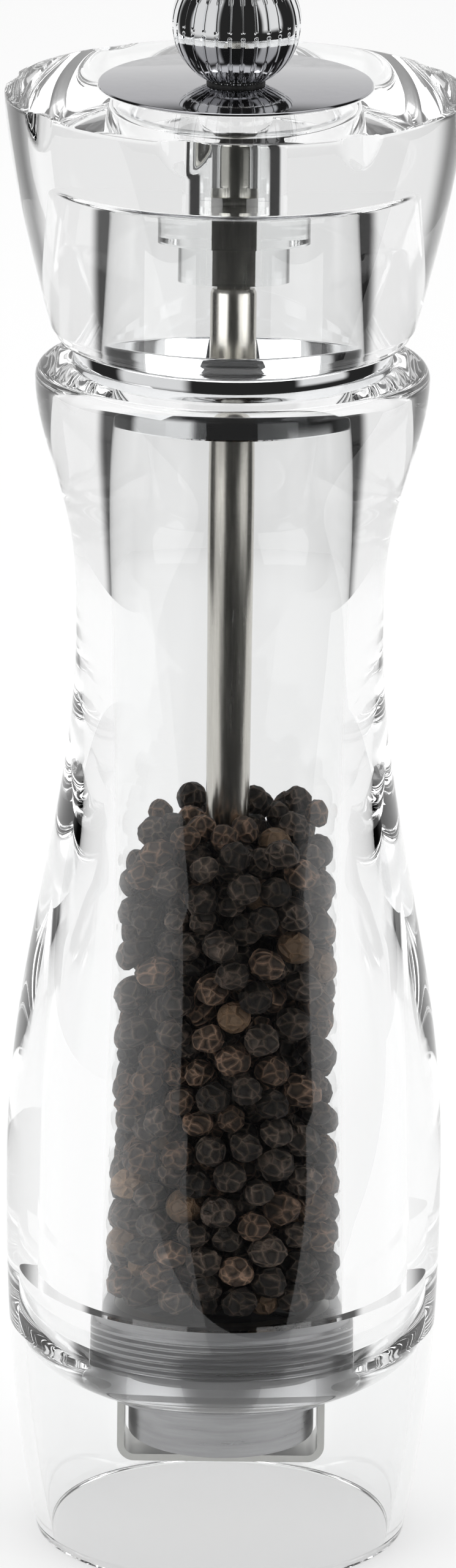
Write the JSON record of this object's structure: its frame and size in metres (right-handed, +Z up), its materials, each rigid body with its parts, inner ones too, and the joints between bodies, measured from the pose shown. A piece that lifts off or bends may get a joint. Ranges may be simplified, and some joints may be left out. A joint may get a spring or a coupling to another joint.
{
  "type": "pepper mill",
  "caption": "Tall clear acrylic pepper mill with a flared turning head, chromed ball knob, steel shaft, chromed neck collar and a steel grinder above a hollow clear skirt.",
  "frame": {"origin": "middle of the foot, on the table", "axes": "+Z up along the shaft; +X along the stirrup; -Y is the front"},
  "size_m": [0.0642, 0.0642, 0.2299],
  "materials": {
    "clear_acrylic": "clear, polished, water white",
    "clear_insert": "clear moulded, slightly dull",
    "chrome": "mirror chrome plate",
    "dark_steel": "fine turned, dark reflection",
    "shaft_steel": "drawn rod, satin",
    "can_steel": "matt pickled steel",
    "grinder_steel": "hardened, phosphated",
    "fastener_steel": "zinc plated",
    "spring_steel": "drawn wire",
    "bush_bronze": "sintered bronze",
    "insert_brass": "turned brass",
    "black_nylon": "matt black",
    "peppercorn": "dry, wrinkled black peppercorns"
  },
  "bodies": {
    "mill_body": {"body": "clear_acrylic", "collar": "chrome", "mechanism_carrier": "can_steel", "grinder_housing": "can_steel", "grinding_ring": "grinder_steel", "bearing_spider": "can_steel", "spider_bush": "bush_bronze", "retaining_ring": "fastener_steel", "stirrup": "fastener_steel", "stirrup_screws": "fastener_steel", "lower_bush": "bush_bronze", "peppercorns": "peppercorn"},
    "drive": {"thrust_washer": "fastener_steel", "grinder_spring": "spring_steel"},
    "spindle": {"shaft": "shaft_steel", "grinding_cone": "grinder_steel", "spring_seat": "fastener_steel", "cone_washer": "fastener_steel", "cone_nut": "fastener_steel"},
    "head_set": {"head": "clear_acrylic", "drive_hub": "clear_insert", "top_disc": "dark_steel", "knob_washer": "black_nylon"},
    "knob_set": {"knob": "chrome", "knob_insert": "insert_brass"}
  },
  "joints": [
    {"name": "grind_turn", "type": "hinge", "parent": "mill_body", "child": "drive", "pos_m": [0, 0, 0.1], "axis": [0, 0, 1], "continuous": true},
    {"name": "fineness", "type": "slide", "parent": "drive", "child": "spindle", "axis": [0, 0, 1], "range_m": [-0.0007, 0.0007], "deforming": ["grinder_spring"]},
    {"name": "head_lift", "type": "slide", "parent": "drive", "child": "head_set", "axis": [0, 0, 1], "range_m": [0, 0.06]},
    {"name": "knob_turn", "type": "hinge", "parent": "head_set", "child": "knob_set", "pos_m": [0, 0, 0.22], "axis": [0, 0, 1], "range_deg": [-360, 360]}
  ],
  "couplings": [
    {"joint": "fineness", "follows": "knob_turn", "m_per_rad": -0.00011141}
  ]
}
